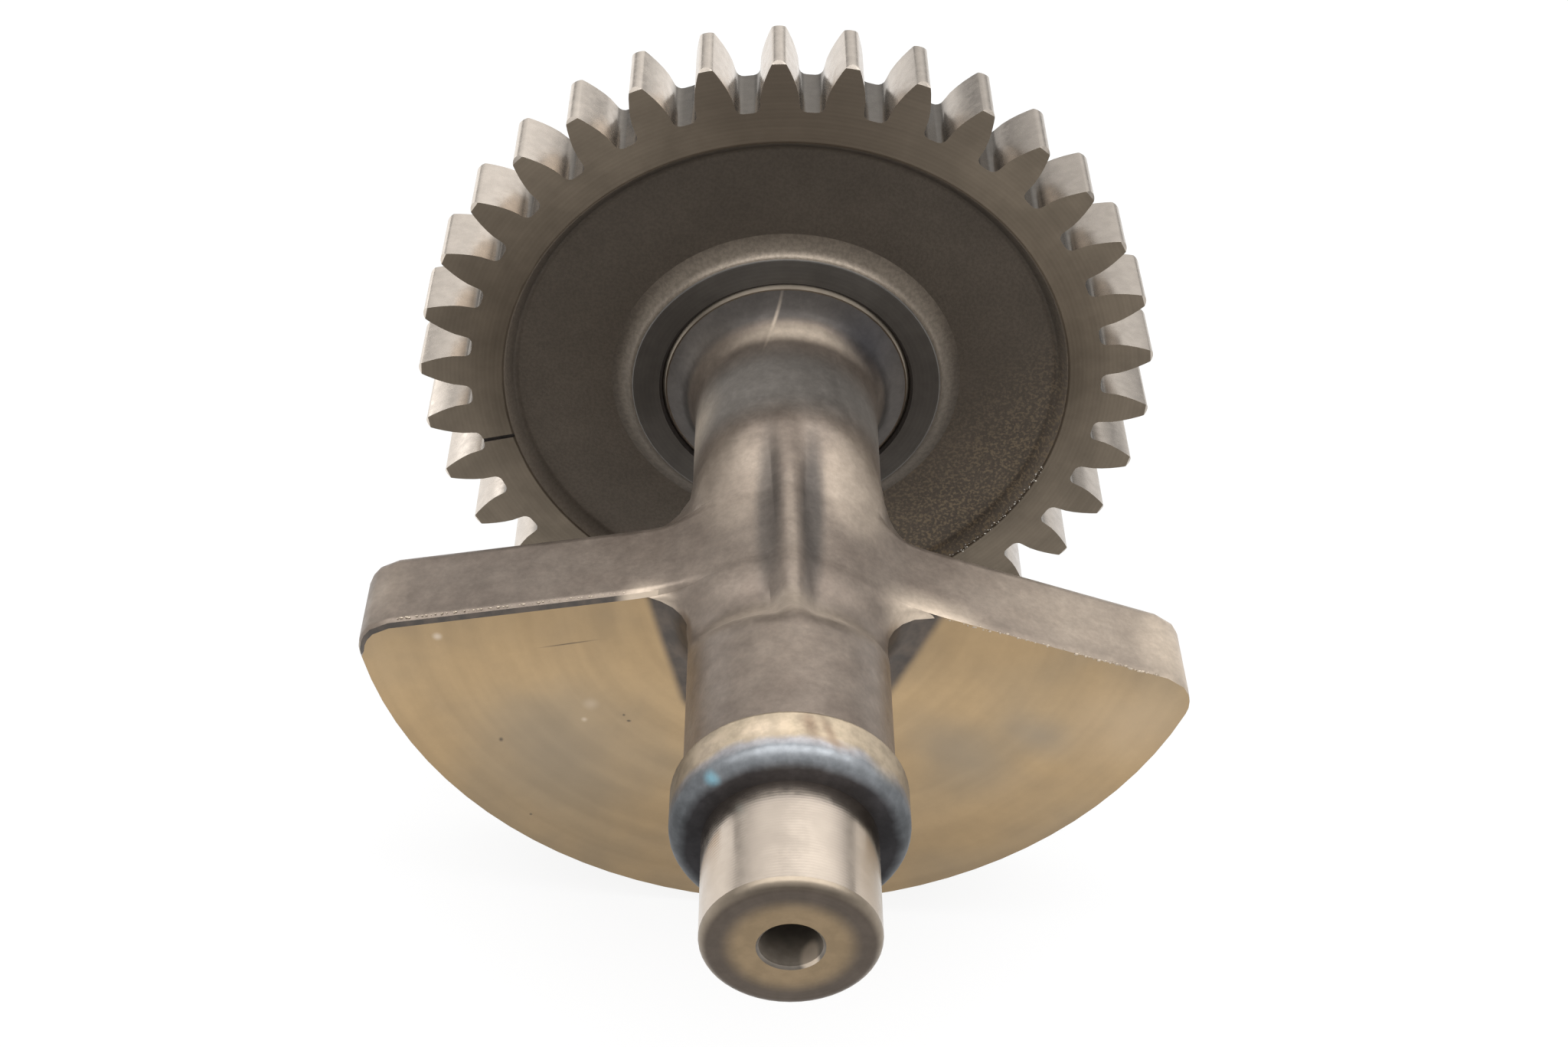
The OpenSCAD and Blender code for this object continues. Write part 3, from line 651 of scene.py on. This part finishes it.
def smooth_faces(mesh, smooth_angle):
    """Smooths the shading, but keeps sharp edges and the edges between zones hard."""
    for face in mesh.faces:
        face.smooth = True
    for edge in mesh.edges:
        zones = {face.material_index for face in edge.link_faces}
        edge.smooth = len(zones) == 1 and edge.calc_face_angle(math.pi) < smooth_angle


def even_normals(piece):
    """Lets the large faces lead the shading, so that thin triangles don't show."""
    normals = piece.modifiers.new("even normals", "WEIGHTED_NORMAL")
    normals.keep_sharp = True


class DressShaft(Operator):
    """Finish the forged shaft: blasted skin, faced weight, ground journals and tinted shoulders"""

    bl_idname = "balance_shaft.dress_shaft"
    bl_label = "Dress Shaft"

    def execute(self, context):
        finish = context.scene.balance_shaft.shaft
        materials = {
            "skin": blasted_forging(finish),
            "faced": faced_steel(finish),
            "edge": shaded_scale_edge(finish),
            "rim": turned_steel("turned weight rim", finish.rim, 0.8 * MM),
            "journal": ground_steel(finish),
            "shoulder": tinted_steel(finish),
            "end": end_face_steel(finish),
            "hole": drilled_steel(finish),
            "seat": turned_steel("turned gear seat", finish.collar, 0.8 * MM, roughness=0.3),
        }

        def zone_of(centre, normal):
            """Zone of a face, by its place along the shaft, its distance from the axis and its direction."""
            radius = math.hypot(centre.x, centre.z)
            from_end = min(centre.y - FRONT_END, REAR_END - centre.y)
            behind_face = centre.y - finish.weight_front
            if radius < finish.hole_r + 0.4 * MM and from_end > TOUCH:
                return "hole"
            if abs(normal.y) > SQUARE and from_end < 0.1 * MM:
                return "end"
            if (centre.y < 0 or centre.y > REAR_SHOULDER) and radius < JOURNAL_R + 0.1 * MM:
                # The rounding of the journal's end belongs to the end
                return "journal" if abs(normal.y) < 0.12 else "end"
            if centre.y < finish.shoulder_l + TOUCH and radius > finish.shoulder_r - 4 * MM:
                return "shoulder"
            if centre.y > GEAR_FRONT - TOUCH:
                return "seat"
            if abs(behind_face) < 0.05 * MM and normal.y < -0.99:
                return "faced"
            # The cut has also cleaned the lower part of the fillet before the weight's front
            in_fillet = -7 * MM < behind_face < 0 and radius < finish.fillet_r
            if in_fillet and normal.y < -0.15 and centre.z < 0:
                return "faced"
            # Scale stays on the rounded front edge of the left arm, painted dark there also as shade
            in_rounding = 0 < behind_face < finish.edge_round and normal.y < -0.6
            if in_rounding and centre.x < -16 * MM and centre.z > -0.3 * WEIGHT_R:
                return "edge"
            if radius > WEIGHT_R - 0.5 * MM and abs(normal.y) < SQUARE:
                return "rim"
            return "skin"

        mesh = merged_copy("balance_shaft")
        paint_zones(mesh, materials, zone_of)
        smooth_faces(mesh, finish.smooth_angle)
        piece = add_piece(mesh, "forged_shaft", materials.values())
        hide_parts("balance_shaft")
        even_normals(piece)
        return {"FINISHED"}


class DressGear(Operator):
    """Finish the gear: turned faces, blasted web and ground teeth with broken edges"""

    bl_idname = "balance_shaft.dress_gear"
    bl_label = "Dress Gear"

    def is_tooth_edge(self, edge, finish):
        """True for an edge between a gear face and a tooth's flank or root."""
        start, end = (vert.co for vert in edge.verts)
        middle = (start + end) / 2
        at_face = min(abs(point.y - face) for point in (start, end) for face in (GEAR_FRONT, GEAR_BACK)) < TOUCH
        level = abs(start.y - end.y) < TOUCH
        outside = math.hypot(middle.x, middle.z) > finish.root_r - 0.3 * MM
        return at_face and level and outside and edge.calc_face_angle(0) > math.radians(60)

    def execute(self, context):
        setup = context.scene.balance_shaft
        finish = setup.gear
        # Painted shade on the rim's top, in the web's brown
        painted_shade_top = (0.8, finish.web, (0, GEAR_FRONT / MM, 48), (40, 5, 20))
        materials = {
            "turned": turned_steel("turned gear rim", finish.turned, 0.6 * MM, stains=(painted_shade_top,)),
            "hub": turned_steel("turned gear hub", finish.hub, 0.6 * MM),
            "web": blasted_web(finish),
            "wall": hub_wall_steel(finish),
            "flank": ground_flank(finish),
            "mark": scribed_mark(finish),
        }

        def zone_of(centre, normal):
            """Zone of a face, by its distance from the axis, its depth in the gear and its direction."""
            radius = math.hypot(centre.x, centre.z)
            depth = min(centre.y - GEAR_FRONT, GEAR_BACK - centre.y)
            if abs(normal.y) < SQUARE and radius > finish.root_r - 0.2 * MM:
                return "flank"
            # The gap round the bore takes the mark's dark colour as painted shade
            in_gap = radius < finish.bore_r + 0.5 * MM and abs(normal.y) < 0.95
            in_mark = radius > finish.rim_r + 0.8 * MM and depth > TOUCH
            if in_gap or in_mark:
                return "mark"
            if radius < finish.hub_r:
                return "hub"
            if radius < finish.wall_r:
                return "wall"
            return "turned" if radius > finish.rim_r - 0.05 * MM else "web"

        mesh = merged_copy("balancer_gear")
        paint_zones(mesh, materials, zone_of)
        bmesh.ops.dissolve_limit(
            mesh, angle_limit=math.radians(0.5), verts=mesh.verts, edges=mesh.edges, delimit={"MATERIAL"})
        tooth_edges = [edge for edge in mesh.edges if self.is_tooth_edge(edge, finish)]
        bmesh.ops.bevel(
            mesh, geom=tooth_edges, offset=finish.tooth_bevel, offset_type="OFFSET", affect="EDGES",
            segments=2, profile=0.5, material=-1, clamp_overlap=True)
        smooth_faces(mesh, setup.shaft.smooth_angle)
        piece = add_piece(mesh, "spur_gear", materials.values())
        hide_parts("balancer_gear")
        even_normals(piece)
        return {"FINISHED"}


class AddBurrs(Operator):
    """Add the beaded burrs along the arms' front edges and round the gear's recess"""

    bl_idname = "balance_shaft.add_burrs"
    bl_label = "Add Burrs"

    def add_beads(self, mesh, path, spacing, sizes, spread, draw):
        """Small beads of random size along a path of points."""
        for start, end in zip(path, path[1:]):
            count = max(1, round((end - start).length / spacing))
            for i in range(count):
                off = Vector(draw.uniform(-spread, spread) for _ in range(3))
                place = start.lerp(end, (i + draw.random()) / count) + off
                stretch = Matrix.Diagonal((draw.uniform(0.8, 2.0), 1, 1, 1))
                matrix = Matrix.Translation(place) @ stretch
                bmesh.ops.create_icosphere(mesh, subdivisions=1, radius=draw.uniform(*sizes), matrix=matrix)

    def execute(self, context):
        setup = context.scene.balance_shaft
        draw = random.Random(7)
        front = setup.shaft.weight_front / MM
        arms = bmesh.new()
        # Ends of the arms' front edges in millimetres, which fall outwards by a quarter of their length
        left = [Vector((x, front + 0.75, 5.05 + x / 4)) * MM for x in (-20.5, -49)]
        right = [Vector((x, front + 0.1, 4.95 - x / 4)) * MM for x in (16.5, 49)]
        self.add_beads(arms, left, 0.55 * MM, (0.07 * MM, 0.17 * MM), 0.06 * MM, draw)
        self.add_beads(arms, right, 0.5 * MM, (0.08 * MM, 0.22 * MM), 0.1 * MM, draw)
        add_piece(arms, "arm_burrs", [burnished_burr("burnished burr", setup.shaft.burr)])
        # The burr of the recess lies at the lower right, and its angles run clockwise from the top
        rim = bmesh.new()
        radius = setup.gear.rim_r - 0.1 * MM
        arc = [math.radians(degrees) for degrees in range(104, 150, 2)]
        path = [Vector((radius * math.sin(a), GEAR_FRONT, radius * math.cos(a))) for a in arc]
        self.add_beads(rim, path, 0.3 * MM, (0.03 * MM, 0.1 * MM), 0.25 * MM, draw)
        add_piece(rim, "recess_burr", [burnished_burr("bright burr", setup.gear.burr)])
        return {"FINISHED"}


def add_softbox(name, place, target, size, power):
    """A rectangular soft light that faces the target."""
    lamp = bpy.data.lights.new(name, "AREA")
    lamp.shape = "RECTANGLE"
    lamp.size, lamp.size_y = size
    lamp.energy = power
    light = bpy.data.objects.new(name, lamp)
    light.location = place
    light.rotation_euler = (Vector(target) - Vector(place)).to_track_quat("-Z", "Y").to_euler()
    light.visible_camera = False
    bpy.context.scene.collection.objects.link(light)


def floor_material(rgb):
    """Pale paper floor: white to the camera and in reflections, with the object's shadow kept."""
    material = bpy.data.materials.new("pale paper")
    material.use_nodes = True
    tree = material.node_tree
    tree.nodes.clear()
    path = tree.nodes.new("ShaderNodeLightPath").outputs
    seen = add_node(tree, "Math", path["Is Camera Ray"], path["Is Glossy Ray"], operation="MAXIMUM")
    seen = add_node(tree, "Math", seen, path["Is Transmission Ray"], operation="MAXIMUM")
    share = add_node(tree, "Math", seen, FLOOR_GLOW, operation="MULTIPLY")
    paper = add_node(tree, "BsdfDiffuse", opaque(rgb))
    glow = add_node(tree, "Emission", opaque(rgb), 1.0)
    surface = tree.nodes.new("ShaderNodeOutputMaterial").inputs["Surface"]
    tree.links.new(add_node(tree, "MixShader", share, paper, glow), surface)
    return material


class BuildStage(Operator):
    """Set up the floor, the studio light and the camera"""

    bl_idname = "balance_shaft.build_stage"
    bl_label = "Build Stage"

    def execute(self, context):
        scene = context.scene
        setup = scene.balance_shaft
        self.add_floor(setup)
        self.add_light(setup.stage)
        self.add_camera(scene, setup.stage)
        scene.view_settings.view_transform = "Standard"
        return {"FINISHED"}

    def add_floor(self, setup):
        """The object rests on the weight's rim and the gear's tips, so the floor is tilted to touch both."""
        weight_y = (setup.shaft.weight_front + setup.shaft.weight_back) / 2
        slope = math.atan2(WEIGHT_R - GEAR_TIP_R, GEAR_FRONT - weight_y)
        mesh = bmesh.new()
        bmesh.ops.create_grid(mesh, x_segments=1, y_segments=1, size=FLOOR_REACH)
        turn = Matrix.Translation((0, weight_y, -WEIGHT_R - FLOOR_GAP)) @ Matrix.Rotation(slope, 4, "X")
        bmesh.ops.transform(mesh, matrix=turn, verts=mesh.verts)
        data = bpy.data.meshes.new("floor")
        mesh.to_mesh(data)
        mesh.free()
        data.materials.append(floor_material(setup.stage.floor))
        floor = bpy.data.objects.new("floor", data)
        bpy.context.scene.collection.objects.link(floor)

    def add_light(self, stage):
        """A wide softbox above, a strip at the back left and a sky that is bright above and at the horizon."""
        target = (0, 0.045, 0)
        add_softbox("overhead_softbox", (0, 0.12, 0.56), target, (1.3, 0.46), stage.softbox)
        add_softbox("strip_light", (-0.45, 0.56, 0.05), target, (0.1, 0.3), stage.strip)
        world = bpy.data.worlds.new("studio")
        bpy.context.scene.world = world
        world.use_nodes = True
        tree = world.node_tree
        direction = add_node(tree, "TexCoord", output="Generated")
        back_right = add_node(tree, "VectorMath", direction, (0.62, 0.62, 0.48), operation="DOT_PRODUCT")
        height = add_node(tree, "SeparateXYZ", direction, output="Z")
        glow = add_node(tree, "MapRange", back_right, 0.7, 1.0, 0.92, 1.2, **EASED)
        falloff = add_node(tree, "MapRange", height, 0.08, 0.58, 0.3, 1.0, **EASED)
        horizon = add_node(tree, "MapRange", height, 0.06, 0.14, 1.0, 0.0, **EASED)
        sky = add_node(tree, "Math", glow, falloff, operation="MULTIPLY")
        level = add_node(tree, "Math", sky, horizon, operation="MAXIMUM")
        background = tree.nodes["Background"]
        background.inputs["Color"].default_value = (1, 1, 1, 1)
        tree.links.new(level, background.inputs["Strength"])

    def add_camera(self, scene, stage):
        """The camera at the photograph's viewing angle."""
        camera = bpy.data.cameras.new("camera")
        camera.sensor_width = 36.0
        camera.lens = stage.lens
        camera.clip_start, camera.clip_end = 0.005, 20.0
        seat = bpy.data.objects.new("camera", camera)
        seat.location = stage.camera_place
        seat.rotation_euler = stage.camera_turn
        scene.collection.objects.link(seat)
        scene.camera = seat


class BalanceShaftPanel(Panel):
    """Sidebar panel that lists the steps and their settings"""

    bl_idname = "VIEW3D_PT_balance_shaft"
    bl_label = "Balance Shaft"
    bl_space_type = "VIEW_3D"
    bl_region_type = "UI"
    bl_category = "Balance Shaft"

    def draw(self, context):
        setup = context.scene.balance_shaft
        self.layout.operator(AddBurrs.bl_idname)
        groups = ((DressShaft, setup.shaft), (DressGear, setup.gear), (BuildStage, setup.stage))
        for operator, group in groups:
            box = self.layout.box()
            box.operator(operator.bl_idname)
            for name in group.__annotations__:
                box.prop(group, name)


CLASSES = (
    ShaftFinish, GearFinish, StageSetup, BalanceShaftSetup,
    DressShaft, DressGear, AddBurrs, BuildStage, BalanceShaftPanel,
)


def register():
    """Registers the classes and hangs their settings on the scene."""
    for cls in CLASSES:
        bpy.utils.register_class(cls)
    bpy.types.Scene.balance_shaft = PointerProperty(type=BalanceShaftSetup)


def unregister():
    """Takes the settings and the classes out again."""
    del bpy.types.Scene.balance_shaft
    for cls in reversed(CLASSES):
        bpy.utils.unregister_class(cls)


def main():
    """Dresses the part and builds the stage."""
    register()
    bpy.ops.balance_shaft.dress_shaft()
    bpy.ops.balance_shaft.dress_gear()
    bpy.ops.balance_shaft.add_burrs()
    bpy.ops.balance_shaft.build_stage()


if __name__ == "__main__":
    main()
